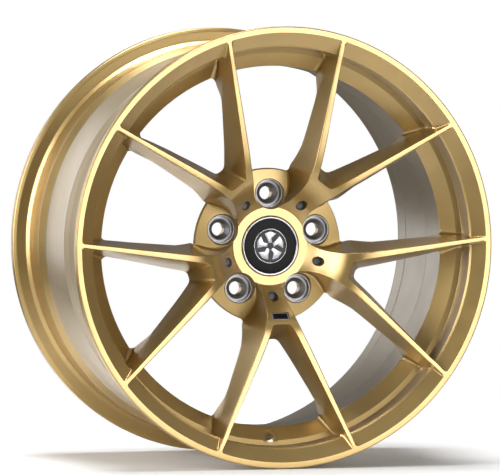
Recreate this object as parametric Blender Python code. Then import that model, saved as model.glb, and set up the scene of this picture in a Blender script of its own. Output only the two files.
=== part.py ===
"""Forged 18 x 9 inch racing wheel: rim barrel, hub, five Y arms, lug seats and a pull-off centre cap.

Frame: metres, +Z up, the wheel's axis along Y. The street side faces -Y, the car is on the +Y side.
The origin is on the axis at the middle of the rim's width. Depths in the tables below are measured
rearward from the street-side lip in millimetres; body_y() turns one into the frame's Y.
"""

import math

import bmesh
import bpy
from mathutils import Matrix, Vector

MM = 0.001

# Driving dimensions, mm.
RIM_RADIUS = 249.0          # outer radius of both flanges (18 inch seat plus J flange)
RIM_DEPTH = 253.6           # over both flanges: 9 inch seat width plus two flanges
SEAT_RADIUS = 231.0         # bead seat at the flange
BOLT_CIRCLE_RADIUS = 60.0
BOLT_COUNT = 5
CAP_RADIUS = 34.0
CENTRE_BORE_RADIUS = 36.3
MOUNT_FACE_DEPTH = 85.0     # hub mounting face
HUB_RADIUS = 89.0
RING_FACE_DEPTH = 56.7      # flat ring round the cap
FIT_GAP = 0.3

STEP_ANGLE = 360.0 / BOLT_COUNT
FIRST_BOLT_ANGLE = -54.0    # degrees from +X towards +Z
FIRST_ARM_ANGLE = -89.05    # the arms stand 0.95 degrees round from the bolts' mid-lines
FIRST_PLUG_ANGLE = -89.5
VALVE_ANGLE = -91.2

RIM_SEGMENTS = 60
HUB_SEGMENTS = 60
SMALL_SEGMENTS = 24
CAP_SEGMENTS = 40

# Rim sections as (radius, depth): street-side flange, drop well, barrel, car-side flange. Each runs
# from its street-side inner edge round the tyre side and back along the inside.
OUTER_FLANGE_PROFILE = [
    (242.0, 0.0), (247.6, 0.0), (RIM_RADIUS, 1.6), (RIM_RADIUS, 6.5), (245.5, 10.2), (234.4, 12.9),
    (226.0, 12.9), (226.0, 10.8), (228.0, 9.1),
]
DROP_WELL_PROFILE = [
    (226.0, 13.9), (232.8, 13.9), (SEAT_RADIUS, 15.5), (229.6, 32.0), (230.4, 35.6), (224.3, 38.3),
    (211.0, 51.6), (210.6, 93.0), (222.5, 117.0), (218.05, 117.0), (205.4, 91.0), (204.7, 47.1),
    (219.6, 35.4), (225.6, 33.2),
]
BARREL_PROFILE = [
    (218.54, 118.0), (223.04, 118.0), (225.2, 122.0), (225.6, 191.0), (231.4, 202.0), (229.6, 214.0),
    (SEAT_RADIUS, 238.0), (233.0, 239.6), (229.0, 239.6), (226.2, 232.0), (226.2, 208.0),
    (220.8, 193.0), (220.0, 121.0),
]
INNER_FLANGE_PROFILE = [
    (229.35, 240.6), (234.3, 240.6), (245.5, 243.4), (RIM_RADIUS, 247.1), (RIM_RADIUS, 252.0),
    (247.6, RIM_DEPTH), (240.0, RIM_DEPTH), (230.6, 244.0),
]

# Hub sections as (radius, depth): the centre with its cap recess and the dished floor of the lug
# bays, and behind it the pad that meets the car.
HUB_CENTRE_PROFILE = [
    (34.4, RING_FACE_DEPTH), (44.6, RING_FACE_DEPTH), (45.4, 57.3), (HUB_RADIUS - 1.0, 65.9),
    (HUB_RADIUS, 67.2), (HUB_RADIUS, 69.5), (83.6, 75.9), (CENTRE_BORE_RADIUS, 75.9),
    (CENTRE_BORE_RADIUS, 74.5), (31.0, 74.5), (31.0, 62.6), (34.4, 62.6),
]
MOUNTING_PAD_PROFILE = [
    (CENTRE_BORE_RADIUS, 76.4), (83.2, 76.4), (76.0, MOUNT_FACE_DEPTH), (38.0, MOUNT_FACE_DEPTH),
    (CENTRE_BORE_RADIUS, 83.4),
]

# Arm surfaces: radius against depth of the front and of the back, and half-widths of the root.
ARM_FRONT = [(45.4, 56.2), (57.7, 45.2), (73.0, 27.6), (83.0, 19.4), (87.0, 17.7), (96.0, 13.9),
             (105.0, 11.8), (119.5, 9.7), (158.0, 6.1), (202.0, 3.0), (241.0, 0.05)]
ARM_BACK = [(90.4, 64.0), (101.0, 53.7), (116.4, 46.6), (131.6, 41.5), (152.0, 37.5),
            (172.0, 33.6), (192.0, 30.4), (230.0, 30.0)]
ROOT_HALF_WIDTH = [(45.0, 16.4), (50.6, 14.3), (57.7, 13.3), (65.8, 13.9), (76.0, 16.0),
                   (86.0, 19.4), (96.0, 22.9)]
ROOT_HALF_WIDTH_BACK = [(45.0, 18.0), (50.6, 16.6), (57.7, 16.2), (65.8, 18.2), (76.0, 24.0),
                        (86.0, 29.2), (96.0, 33.6)]
ROOT_STATIONS = [45.9, 50.6, 57.7, 65.8, 73.0, 83.0]
SPOKE_STATIONS = [112.0, 125.0, 140.0, 165.0, 190.0, 208.0]
CROTCH_FRONT, CROTCH_MIDDLE, CROTCH_BACK = 87.0, 96.2, 105.6
FLOOR_GAP = 0.8             # under the arms' roots, where the forging is really continuous
RIM_END_GAP = 1.2           # the same at the spokes' ends
ROOT_INNER_HALF = 10.2      # half-width of the root's middle strips
LUG_BAY_END_STATION = 90.0  # where the lug bay's floor runs off the hub
SPOKE_END_DEPTHS = (0.1, 10.8, 30.0)

# Lug seats: steel cups set in the hub, and the plugs in the arms' holes.
LUG_SEAT_RADIUS = 16.2
LUG_SEAT_PROFILE = [(15.2, 64.0), (LUG_SEAT_RADIUS, 64.0), (LUG_SEAT_RADIUS, 75.7), (7.4, 75.7),
                    (7.4, 74.6), (11.6, 68.6), (15.2, 68.6)]
BOLT_CLEARANCE_RADIUS = 8.2
PLUG_CIRCLE_RADIUS = 56.9
PLUG_RADIUS = 5.25
PLUG_HOLE_RADIUS = 5.6
PLUG_PROFILE = [(0, 51.6), (PLUG_RADIUS - 1.2, 51.2), (PLUG_RADIUS, 50.2), (PLUG_RADIUS, 56.6), (0, 56.6)]

VALVE_RADIUS = 5.8
VALVE_POINT = (216.6, 37.8)     # radius and depth where the hole's axis meets the band
VALVE_CUT_HALF_LENGTH = 14.0

BADGE_WIDTH, BADGE_HEIGHT = 20.0, 9.6
BADGE_BORDER = 1.0
BADGE_CENTRE_RADIUS = 78.0

# Centre cap sections as (radius, depth).
CAP_BODY_PROFILE = [(0, 58.6), (CAP_RADIUS - 0.2, 58.6), (CAP_RADIUS, 59.0), (CAP_RADIUS, 61.6),
                    (30.2, 61.8), (30.2, 77.0), (28.2, 77.0), (28.2, 63.6), (0, 63.6)]
BEZEL_PROFILE = [(30.9, 57.0), (31.5, 56.0), (32.4, 55.7), (33.4, 56.1), (33.9, 57.0), (33.9, 58.3),
                 (30.9, 58.3)]
DIAL_PROFILE = [(20.1, 56.4), (30.6, 56.8), (30.6, 58.3), (20.1, 58.3)]
EMBLEM_RING_PROFILE = [(18.8, 56.2), (19.3, 55.95), (19.8, 56.2), (19.8, 58.3), (18.8, 58.3)]
EMBLEM_DISC_PROFILE = [(0, 56.1), (18.5, 56.4), (18.5, 58.3), (0, 58.3)]
SPRING_WIRE_RADIUS = 0.9
SPRING_RING_RADIUS = 27.0
SPRING_RING_DEPTH = 69.5
FINGER_SLOT_WIDTH = 5.0
FINGER_SLOT_DEPTH = 72.0

GOLD = (0.42, 0.27, 0.085)
COLOURS = {
    "forging": (GOLD, 0.38, 0.85),
    "bare_steel": ((0.72, 0.72, 0.74), 0.25, 1.0),
    "black_plastic": ((0.018, 0.018, 0.02), 0.4, 0.0),
    "plug": ((0.035, 0.035, 0.04), 0.55, 0.0),
    "chrome": ((0.85, 0.86, 0.88), 0.12, 1.0),
    "gloss_black": ((0.008, 0.008, 0.009), 0.12, 0.0),
    "emblem_silver": ((0.6, 0.62, 0.68), 0.3, 0.9),
    "spring_steel": ((0.5, 0.5, 0.5), 0.35, 1.0),
}


def clear_scene():
    for thing in list(bpy.data.objects):
        bpy.data.objects.remove(thing, do_unlink=True)


def make_materials():
    made = {}
    for name, (colour, roughness, metallic) in COLOURS.items():
        material = bpy.data.materials.new(name)
        material.use_nodes = True
        shader = material.node_tree.nodes["Principled BSDF"]
        shader.inputs["Base Color"].default_value = (*colour, 1.0)
        shader.inputs["Roughness"].default_value = roughness
        shader.inputs["Metallic"].default_value = metallic
        made[name] = material
    return made


def body_y(depth):
    """Frame Y in metres of a depth behind the street-side lip in mm."""
    return (depth - RIM_DEPTH / 2) * MM


def polar(radius, angle_degrees, depth):
    angle = math.radians(angle_degrees)
    return Vector((radius * MM * math.cos(angle), body_y(depth), radius * MM * math.sin(angle)))


def lookup(table, value):
    """Straight-line reading of a table of (value, result) pairs, held at its ends."""
    if value <= table[0][0]:
        return table[0][1]
    for (x0, y0), (x1, y1) in zip(table, table[1:]):
        if value <= x1:
            return y0 + (y1 - y0) * (value - x0) / (x1 - x0)
    return table[-1][1]


def add_object(name, bm, material, smooth_degrees=35.0):
    """Closed mesh from bm as one object, faces out, smooth below the given edge angle."""
    bmesh.ops.remove_doubles(bm, verts=bm.verts, dist=1e-7)
    bmesh.ops.recalc_face_normals(bm, faces=bm.faces)
    mesh = bpy.data.meshes.new(name)
    bm.to_mesh(mesh)
    bm.free()
    mesh.shade_smooth()
    mesh.set_sharp_from_angle(angle=math.radians(smooth_degrees))
    if material is not None:
        mesh.materials.append(material)
    thing = bpy.data.objects.new(name, mesh)
    bpy.context.scene.collection.objects.link(thing)
    return thing


def ring_mesh(profile, segments, on_flats=False):
    """A closed (radius, depth) profile turned round the Y axis through the local origin.

    on_flats sets flats tangent to the true circle at the foot, the top and both sides.
    """
    bm = bmesh.new()
    turn = 0.5 if on_flats else 0.0
    scale = MM / math.cos(math.pi / segments) if on_flats else MM
    rings = []
    for i in range(segments):
        angle = 2 * math.pi * (i + turn) / segments
        rings.append([bm.verts.new((r * scale * math.cos(angle), body_y(y), r * scale * math.sin(angle)))
                      for r, y in profile])
    for i in range(segments):
        here, after = rings[i], rings[(i + 1) % segments]
        for j in range(len(profile)):
            k = (j + 1) % len(profile)
            bm.faces.new((here[j], here[k], after[k], after[j]))
    return bm


def disc_mesh(profile, segments):
    """A solid of revolution: an open profile whose first and last points lie on the axis."""
    bm = bmesh.new()
    first = bm.verts.new((0, body_y(profile[0][1]), 0))
    last = bm.verts.new((0, body_y(profile[-1][1]), 0))
    rings = []
    for i in range(segments):
        angle = 2 * math.pi * i / segments
        rings.append([bm.verts.new((r * MM * math.cos(angle), body_y(y), r * MM * math.sin(angle)))
                      for r, y in profile[1:-1]])
    for i in range(segments):
        here, after = rings[i], rings[(i + 1) % segments]
        bm.faces.new((first, here[0], after[0]))
        bm.faces.new((last, after[-1], here[-1]))
        for j in range(len(here) - 1):
            bm.faces.new((here[j], here[j + 1], after[j + 1], after[j]))
    return bm


def cut(target, cutter):
    cutter.hide_render = True
    cutter.display_type = "WIRE"
    cutter.hide_set(True)
    modifier = target.modifiers.new("cut", "BOOLEAN")
    modifier.operation = "DIFFERENCE"
    modifier.solver = "EXACT"
    modifier.object = cutter


def cylinder_cutter(name, radius, depth_from, depth_to, place, segments=SMALL_SEGMENTS):
    """A cylinder along Y between two depths, moved by place, which has no depth of its own."""
    profile = [(0, depth_from), (radius, depth_from), (radius, depth_to), (0, depth_to)]
    cutter = add_object(name, disc_mesh(profile, segments), None)
    cutter.location = place
    return cutter


def on_circle(radius, angle_degrees):
    """Offset in the wheel's plane, for pieces whose meshes already carry their depth."""
    angle = math.radians(angle_degrees)
    return Vector((radius * MM * math.cos(angle), 0.0, radius * MM * math.sin(angle)))


def strip_width(s):
    return 7.0 - 0.0265 * (s - 116.4)


def spoke_edges(s):
    """Distances from the arm's mid-line at station s: front window and lug edges, back ones."""
    centre = 44.9 + 0.472 * (s - 151.4)
    half = 0.553 * strip_width(s)
    return (centre - half, centre + half,
            34.0 + 0.56 * (s - 156.2), 55.0 + 0.42 * (s - 146.9))


def front_depth(radius):
    return lookup(ARM_FRONT, radius)


def root_floor_depth(radius):
    """Just above the hub's dished floor, then the arm's own back beyond the hub."""
    if radius <= HUB_RADIUS + 0.6:
        (r0, y0), (r1, y1) = HUB_CENTRE_PROFILE[2], HUB_CENTRE_PROFILE[3]
        return y0 + (y1 - y0) * (radius - r0) / (r1 - r0) - FLOOR_GAP
    return lookup(ARM_BACK, radius)


def rim_clear_radius(depth):
    """Radius just inside the rim at a depth, where a spoke ends."""
    inner = [(-1.0, 243.5), (0.0, 242.0), (9.1, 228.0), (10.8, 226.0), (33.2, 225.6)]
    return lookup(inner, depth) - RIM_END_GAP


def end_station(line, depth):
    """Station where an edge line t = line(s) reaches the rim's inside at a depth."""
    target = rim_clear_radius(depth)
    low, high = 180.0, 245.0
    for _ in range(40):
        middle = (low + high) / 2
        if math.hypot(middle, line(middle)) < target:
            low = middle
        else:
            high = middle
    return low


def arm_mesh():
    """A Y arm along local +X: a root between two lug bays, and two spokes out to the rim."""
    bm = bmesh.new()

    def point(s, t, depth):
        return bm.verts.new((s * MM, body_y(depth), t * MM))

    # Root sections: front and back rows across the arm.
    fronts, backs = [], []
    for s in ROOT_STATIONS:
        half = lookup(ROOT_HALF_WIDTH, s)
        half_back = lookup(ROOT_HALF_WIDTH_BACK, s)
        inner = min(ROOT_INNER_HALF, half * 0.72)
        across = (-half, -inner, 0.0, inner, half)
        across_back = (-half_back, -inner, 0.0, inner, half_back)
        fronts.append([point(s, t, front_depth(s)) for t in across])
        backs.append([point(s, t, root_floor_depth(math.hypot(s, t))) for t in across_back])

    # The crotch section closes the root between the spokes with a wall in two facets.
    window_front = spoke_edges(CROTCH_FRONT)[0]
    window_back = spoke_edges(CROTCH_BACK)[2]
    window_middle = (window_front + window_back) / 2
    depth_front = front_depth(CROTCH_FRONT)
    depth_back = lookup(ARM_BACK, CROTCH_BACK)
    depth_middle = depth_front + 0.5 * (depth_back - depth_front)
    half = lookup(ROOT_HALF_WIDTH, CROTCH_FRONT)
    end = LUG_BAY_END_STATION
    half_back = lookup(ROOT_HALF_WIDTH_BACK, end)
    front_row = [point(CROTCH_FRONT, t, depth_front)
                 for t in (-half, -window_front, 0, window_front, half)]
    middle_row = [point(CROTCH_MIDDLE, t, depth_middle) for t in (-window_middle, 0, window_middle)]
    back_row = [point(CROTCH_BACK, t, depth_back) for t in (-window_back, 0, window_back)]
    lug_back = [point(end, t, root_floor_depth(math.hypot(end, t))) for t in (-half_back, half_back)]
    hub_edge = [point(end, t, root_floor_depth(end)) for t in (-ROOT_INNER_HALF, 0.0, ROOT_INNER_HALF)]

    fronts.append(front_row)
    backs.append([lug_back[0], hub_edge[0], hub_edge[1], hub_edge[2], lug_back[1]])

    for rows, flip in ((fronts, False), (backs, True)):
        for near, far in zip(rows, rows[1:]):
            for j in range(4):
                face = (near[j], near[j + 1], far[j + 1], far[j])
                bm.faces.new(face[::-1] if flip else face)
    for i in range(len(fronts) - 1):
        for j in (0, 4):
            bm.faces.new((fronts[i][j], fronts[i + 1][j], backs[i + 1][j], backs[i][j]))
    for j in range(4):
        bm.faces.new((fronts[0][j], fronts[0][j + 1], backs[0][j + 1], backs[0][j]))
    for j in (0, 1):
        bm.faces.new((front_row[j + 1], front_row[j + 2], middle_row[j + 1], middle_row[j]))
        bm.faces.new((middle_row[j], middle_row[j + 1], back_row[j + 1], back_row[j]))
        bm.faces.new((back_row[j], back_row[j + 1], hub_edge[j + 1], hub_edge[j]))

    # Each spoke continues from its half of the crotch section.
    for side in (-1, 1):
        edge, inner, middle, bay = (0, 1, 0, 0) if side < 0 else (4, 3, 2, 1)
        crotch = (front_row[inner], middle_row[middle], back_row[middle], hub_edge[middle],
                  lug_back[bay], front_row[edge])
        rings = [[point(s, side * t, depth) for s, t, depth in spoke_section(station)]
                 for station in SPOKE_STATIONS]
        rings.append([point(s, side * t, depth) for s, t, depth in spoke_end()])
        join_crotch(bm, crotch, rings[0])
        for near, far in zip(rings, rings[1:]):
            for j in range(6):
                k = (j + 1) % 6
                bm.faces.new((near[j], near[k], far[k], far[j]))
        last = rings[-1]
        bm.faces.new((last[0], last[1], last[4], last[5]))
        bm.faces.new((last[1], last[2], last[3], last[4]))
    return bm


def spoke_section(s):
    """Six corners of a spoke at a station: down the window wall, across the back, up the lug wall."""
    window, lug, window_back, lug_back = spoke_edges(s)
    depth = front_depth(math.hypot(s, window))
    back_window = lookup(ARM_BACK, math.hypot(s, window_back))
    back_lug = lookup(ARM_BACK, math.hypot(s, lug_back))
    return [(s, window, depth), (s, (window + window_back) / 2, depth + 0.45 * (back_window - depth)),
            (s, window_back, back_window), (s, lug_back, back_lug),
            (s, lug + 0.33 * (lug_back - lug), depth + 0.33 * (back_lug - depth)), (s, lug, depth)]


def spoke_end():
    """The same six corners at the rim, each as far out as the bevel or the groove leaves room."""
    depth_front, depth_middle, depth_back = SPOKE_END_DEPTHS
    lines = [
        (lambda s: spoke_edges(s)[0], depth_front),
        (lambda s: 0.6 * spoke_edges(s)[0] + 0.4 * spoke_edges(s)[2], depth_middle),
        (lambda s: spoke_edges(s)[2], depth_back),
        (lambda s: spoke_edges(s)[3], depth_back),
        (lambda s: 0.67 * spoke_edges(s)[1] + 0.33 * spoke_edges(s)[3], depth_middle),
        (lambda s: spoke_edges(s)[1], depth_front),
    ]
    corners = []
    for line, depth in lines:
        s = end_station(line, depth)
        corners.append((s, line(s), depth))
    return corners


def join_crotch(bm, near, far):
    """Closes the arm between the crotch's half section and the spoke's first one."""
    window, middle, back, hub, lug_back, lug = near
    far_window, far_middle, far_back, far_lug_back, far_lug_middle, far_lug = far
    for corners in ((window, middle, far_middle, far_window), (middle, back, far_back, far_middle),
                    (back, hub, far_lug_back, far_back), (hub, lug_back, far_lug_back),
                    (lug_back, far_lug_middle, far_lug_back), (lug_back, lug, far_lug_middle),
                    (lug, far_lug, far_lug_middle), (lug, window, far_window, far_lug)):
        bm.faces.new(corners)


def build_rim(materials):
    rings = {}
    for name, profile in (("rim_outer_flange", OUTER_FLANGE_PROFILE), ("rim_drop_well", DROP_WELL_PROFILE),
                          ("rim_barrel", BARREL_PROFILE), ("rim_inner_flange", INNER_FLANGE_PROFILE)):
        mesh = ring_mesh(profile, RIM_SEGMENTS, on_flats=True)
        rings[name] = add_object(name, mesh, materials["forging"], 25.0)
    # The valve hole runs square to the gold band, which faces the street side and the axis.
    band_top, band_foot = Vector((219.6, 35.4)), Vector((204.7, 47.1))
    along = (band_foot - band_top).normalized()
    inward = Vector((-along.y, along.x))
    if inward.x > 0:
        inward.negate()
    angle = math.radians(VALVE_ANGLE)
    axis = Vector((inward.x * math.cos(angle), inward.y, inward.x * math.sin(angle)))
    near, far = RIM_DEPTH / 2 - VALVE_CUT_HALF_LENGTH, RIM_DEPTH / 2 + VALVE_CUT_HALF_LENGTH
    profile = [(0, near), (VALVE_RADIUS, near), (VALVE_RADIUS, far), (0, far)]
    cutter = add_object("cut_valve_hole", disc_mesh(profile, SMALL_SEGMENTS), None)
    turn = Vector((0, 1, 0)).rotation_difference(axis).to_matrix().to_4x4()
    cutter.matrix_world = Matrix.Translation(polar(VALVE_POINT[0], VALVE_ANGLE, VALVE_POINT[1])) @ turn
    cut(rings["rim_drop_well"], cutter)


def build_hub(materials):
    for name, profile, hole_radius in (
            ("hub_centre", HUB_CENTRE_PROFILE, LUG_SEAT_RADIUS + FIT_GAP),
            ("hub_mounting_pad", MOUNTING_PAD_PROFILE, BOLT_CLEARANCE_RADIUS)):
        mesh = ring_mesh(profile, HUB_SEGMENTS, on_flats=True)
        plate = add_object(name, mesh, materials["forging"], 25.0)
        for i in range(BOLT_COUNT):
            place = on_circle(BOLT_CIRCLE_RADIUS, FIRST_BOLT_ANGLE + STEP_ANGLE * i)
            cut(plate, cylinder_cutter(f"cut_{name}_{i + 1}", hole_radius, 50.0, 90.0, place))


def build_lug_seats(materials):
    for i in range(BOLT_COUNT):
        seat = add_object(f"lug_seat_{i + 1}", ring_mesh(LUG_SEAT_PROFILE, SMALL_SEGMENTS),
                          materials["bare_steel"])
        seat.location = on_circle(BOLT_CIRCLE_RADIUS, FIRST_BOLT_ANGLE + STEP_ANGLE * i)


def badge_place():
    """Matrix that carries a flat badge, front towards -Y, to its seat on the first arm."""
    low, high = ARM_FRONT[2], ARM_FRONT[3]
    slope = math.atan2(low[1] - high[1], high[0] - low[0])
    depth = lookup(ARM_FRONT, BADGE_CENTRE_RADIUS)
    at = polar(BADGE_CENTRE_RADIUS, FIRST_ARM_ANGLE, depth)
    roll = Matrix.Rotation(-math.radians(FIRST_ARM_ANGLE + 90.0), 4, "Y")
    lean = Matrix.Rotation(-slope, 4, "X")
    return Matrix.Translation(at) @ roll @ lean


def slab_mesh(width, height, front, back):
    """A plate in the XZ plane from Y = front to Y = back, all in mm about the local origin."""
    bm = bmesh.new()
    bmesh.ops.create_cube(bm, size=1.0)
    for vert in bm.verts:
        vert.co.x *= width * MM
        vert.co.z *= height * MM
        vert.co.y = (front if vert.co.y < 0 else back) * MM
    return bm


def build_arms(materials):
    for i in range(BOLT_COUNT):
        arm_angle = FIRST_ARM_ANGLE + STEP_ANGLE * i
        arm = add_object(f"spoke_arm_{i + 1}", arm_mesh(), materials["forging"], 30.0)
        arm.rotation_euler = (0.0, -math.radians(arm_angle), 0.0)
        place = on_circle(PLUG_CIRCLE_RADIUS, FIRST_PLUG_ANGLE + STEP_ANGLE * i)
        cut(arm, cylinder_cutter(f"cut_plug_{i + 1}", PLUG_HOLE_RADIUS, 30.0, 57.0, place, 20))
        plug = add_object(f"arm_hole_plug_{i + 1}", disc_mesh(PLUG_PROFILE, 20), materials["plug"])
        plug.location = place
        if i == 0:
            slab = slab_mesh(BADGE_WIDTH + 2 * FIT_GAP, BADGE_HEIGHT + 2 * FIT_GAP, -4.0, 2.3)
            recess = add_object("cut_badge", slab, None)
            recess.matrix_world = badge_place()
            cut(arm, recess)


def build_badge(materials):
    slab = slab_mesh(BADGE_WIDTH, BADGE_HEIGHT, 0.2, 2.0)
    frame = add_object("badge_frame", slab, materials["emblem_silver"])
    frame.matrix_world = badge_place()
    width, height = BADGE_WIDTH - 2 * BADGE_BORDER, BADGE_HEIGHT - 2 * BADGE_BORDER
    pocket = add_object("cut_badge_plate", slab_mesh(width, height, -2.0, 1.3), None)
    pocket.matrix_world = badge_place()
    cut(frame, pocket)
    slab = slab_mesh(width - 2 * FIT_GAP, height - 2 * FIT_GAP, 0.4, 1.0)
    plate = add_object("badge_plate", slab, materials["gloss_black"])
    plate.matrix_world = badge_place()


def build_cap(materials):
    body = add_object("cap_body", disc_mesh(CAP_BODY_PROFILE, CAP_SEGMENTS), materials["black_plastic"])
    # Three slots across the skirt part it into six sprung fingers.
    for i in range(3):
        slot = add_object(f"cut_finger_slot_{i + 1}", slab_mesh(90.0, FINGER_SLOT_WIDTH, -6.0, 6.0), None)
        turn = Matrix.Rotation(math.radians(60.0 * i), 4, "Y")
        slot.matrix_world = Matrix.Translation((0, body_y(FINGER_SLOT_DEPTH), 0)) @ turn
        cut(body, slot)
    wire = []
    for degrees in range(0, 360, 60):
        angle = math.radians(degrees)
        wire.append((SPRING_RING_RADIUS + SPRING_WIRE_RADIUS * math.cos(angle),
                     SPRING_RING_DEPTH + SPRING_WIRE_RADIUS * math.sin(angle)))
    add_object("cap_spring_ring", ring_mesh(wire, CAP_SEGMENTS), materials["spring_steel"])
    add_object("cap_bezel", ring_mesh(BEZEL_PROFILE, CAP_SEGMENTS), materials["chrome"])
    add_object("cap_dial", ring_mesh(DIAL_PROFILE, CAP_SEGMENTS), materials["gloss_black"])
    add_object("cap_emblem_ring", ring_mesh(EMBLEM_RING_PROFILE, CAP_SEGMENTS), materials["chrome"])
    add_object("cap_emblem_disc", disc_mesh(EMBLEM_DISC_PROFILE, CAP_SEGMENTS), materials["emblem_silver"])


def main():
    clear_scene()
    materials = make_materials()
    build_rim(materials)
    build_hub(materials)
    build_lug_seats(materials)
    build_arms(materials)
    build_badge(materials)
    build_cap(materials)


main()
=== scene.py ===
"""Looks of the forged racing wheel: a satin gold monoblock with bright bolt seats and a centre cap.

Shapes are written in millimetres: a radius from the wheel's axis and a depth behind the street-side
lip. at_depth() turns a depth into the frame's Y. The arms are written in their own plane: s along the
arm's mid-line, t across it.
"""

import math

import bmesh
import bpy
import numpy as np
from mathutils import Matrix, Vector


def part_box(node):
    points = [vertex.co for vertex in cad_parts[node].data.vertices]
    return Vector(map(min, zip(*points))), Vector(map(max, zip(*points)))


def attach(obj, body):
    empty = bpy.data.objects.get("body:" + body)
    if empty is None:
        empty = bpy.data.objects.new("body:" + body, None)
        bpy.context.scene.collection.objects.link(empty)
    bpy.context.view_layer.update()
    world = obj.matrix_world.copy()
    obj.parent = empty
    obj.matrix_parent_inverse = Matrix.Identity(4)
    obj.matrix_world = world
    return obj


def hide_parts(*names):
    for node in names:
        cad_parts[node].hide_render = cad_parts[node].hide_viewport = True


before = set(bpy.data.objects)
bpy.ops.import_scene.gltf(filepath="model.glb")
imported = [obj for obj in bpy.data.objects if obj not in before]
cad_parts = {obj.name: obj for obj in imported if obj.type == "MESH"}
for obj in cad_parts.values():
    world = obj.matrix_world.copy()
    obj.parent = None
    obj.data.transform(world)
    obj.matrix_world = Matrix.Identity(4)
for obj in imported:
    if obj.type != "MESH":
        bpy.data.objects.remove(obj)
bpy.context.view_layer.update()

MM = 0.001


# ---------------------------------------------------------------- places read from the frame

def box_centre(node):
    low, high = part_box(node)
    return (low + high) / 2


LIP_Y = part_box("rim_outer_flange")[0].y
RIM_LOW, RIM_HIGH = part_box("rim_inner_flange")
RIM_DEPTH = (RIM_HIGH.y - LIP_Y) / MM
RIM_RADIUS = (RIM_HIGH.x - RIM_LOW.x) / 2 / MM
HUB_LOW, HUB_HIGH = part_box("hub_centre")
HUB_RADIUS = (HUB_HIGH.x - HUB_LOW.x) / 2 / MM
MOUNT_DEPTH = (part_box("hub_mounting_pad")[1].y - LIP_Y) / MM
RING_DEPTH = (HUB_LOW.y - LIP_Y) / MM
BOLT_CENTRES = [box_centre(f"lug_seat_{i}") for i in range(1, 6)]
PLUG_CENTRES = [box_centre(f"arm_hole_plug_{i}") for i in range(1, 6)]
BOLT_CIRCLE = math.hypot(BOLT_CENTRES[0].x, BOLT_CENTRES[0].z) / MM
FIRST_BOLT = math.degrees(math.atan2(BOLT_CENTRES[0].z, BOLT_CENTRES[0].x))
ARM_LEAD = -35.05               # degrees from a bolt back to the arm before it
FIRST_ARM = FIRST_BOLT + ARM_LEAD
STEP = 72.0


def at_depth(depth):
    return LIP_Y + depth * MM


# ---------------------------------------------------------------- curves

def smooth_table(table):
    """A monotone cubic through (x, y) pairs, held level outside them."""
    xs = np.array([x for x, _ in table], float)
    ys = np.array([y for _, y in table], float)
    steps = np.diff(xs)
    slopes = np.diff(ys) / steps
    tangents = np.zeros(len(xs))
    for i in range(1, len(xs) - 1):
        if slopes[i - 1] * slopes[i] > 0:
            a, b = 2 * steps[i] + steps[i - 1], steps[i] + 2 * steps[i - 1]
            tangents[i] = (a + b) / (a / slopes[i - 1] + b / slopes[i])
    tangents[0], tangents[-1] = slopes[0], slopes[-1]

    def read(x):
        x = min(max(x, xs[0]), xs[-1])
        i = min(int(np.searchsorted(xs, x, side="right")) - 1, len(steps) - 1)
        h, u = steps[i], (x - xs[i]) / steps[i]
        return float(ys[i] * (1 + 2 * u) * (1 - u) ** 2 + tangents[i] * h * u * (1 - u) ** 2
                     + ys[i + 1] * u * u * (3 - 2 * u) + tangents[i + 1] * h * u * u * (u - 1))
    return read


def ease(x, low, high):
    u = min(max((x - low) / (high - low), 0.0), 1.0)
    return u * u * (3 - 2 * u)


def bend(before, corner, after, length, steps):
    """Points of a rounded corner that starts and ends length away from it."""
    before, corner, after = (np.asarray(p, float) for p in (before, corner, after))
    to_before, to_after = before - corner, after - corner
    start = corner + to_before * min(1.0, length / max(np.linalg.norm(to_before), 1e-9))
    end = corner + to_after * min(1.0, length / max(np.linalg.norm(to_after), 1e-9))
    points = []
    for i in range(steps + 1):
        u = i / steps
        points.append((1 - u) ** 2 * start + 2 * u * (1 - u) * corner + u * u * end)
    return points


def rounded(corners, steps=4, closed=True):
    """A polyline through (a, b, radius) corners with each one rounded to about its radius."""
    count = len(corners)
    points = []
    for i, (a, b, radius) in enumerate(corners):
        here = np.array((a, b), float)
        if radius == 0 or (not closed and i in (0, count - 1)):
            points.append(here)
            continue
        before = np.array(corners[i - 1][:2], float)
        after = np.array(corners[(i + 1) % count][:2], float)
        u, v = before - here, after - here
        cosine = float(u @ v / (np.linalg.norm(u) * np.linalg.norm(v)))
        half_turn = (math.pi - math.acos(max(-1.0, min(1.0, cosine)))) / 2
        reach = min(radius * math.tan(half_turn), 0.47 * np.linalg.norm(u), 0.47 * np.linalg.norm(v))
        points.extend(bend(before, here, after, reach, steps))
    return points


# ---------------------------------------------------------------- meshes

def new_object(name, bm, materials, sharp_degrees=32.0):
    """One object from bm, faces out, smooth below the given edge angle."""
    bmesh.ops.remove_doubles(bm, verts=bm.verts, dist=1e-7)
    bmesh.ops.recalc_face_normals(bm, faces=bm.faces)
    mesh = bpy.data.meshes.new(name)
    bm.to_mesh(mesh)
    bm.free()
    for material in materials:
        mesh.materials.append(material)
    thing = bpy.data.objects.new(name, mesh)
    bpy.context.scene.collection.objects.link(thing)
    shade(thing, sharp_degrees)
    return thing


def shade(thing, sharp_degrees):
    thing.data.shade_smooth()
    thing.data.set_sharp_from_angle(angle=math.radians(sharp_degrees))


def even_normals(thing):
    """Large faces keep their own normals, so the shading turns only in the rounded edges."""
    modifier = thing.modifiers.new("even_normals", "WEIGHTED_NORMAL")
    modifier.keep_sharp = True
    modifier.weight = 50


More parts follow.
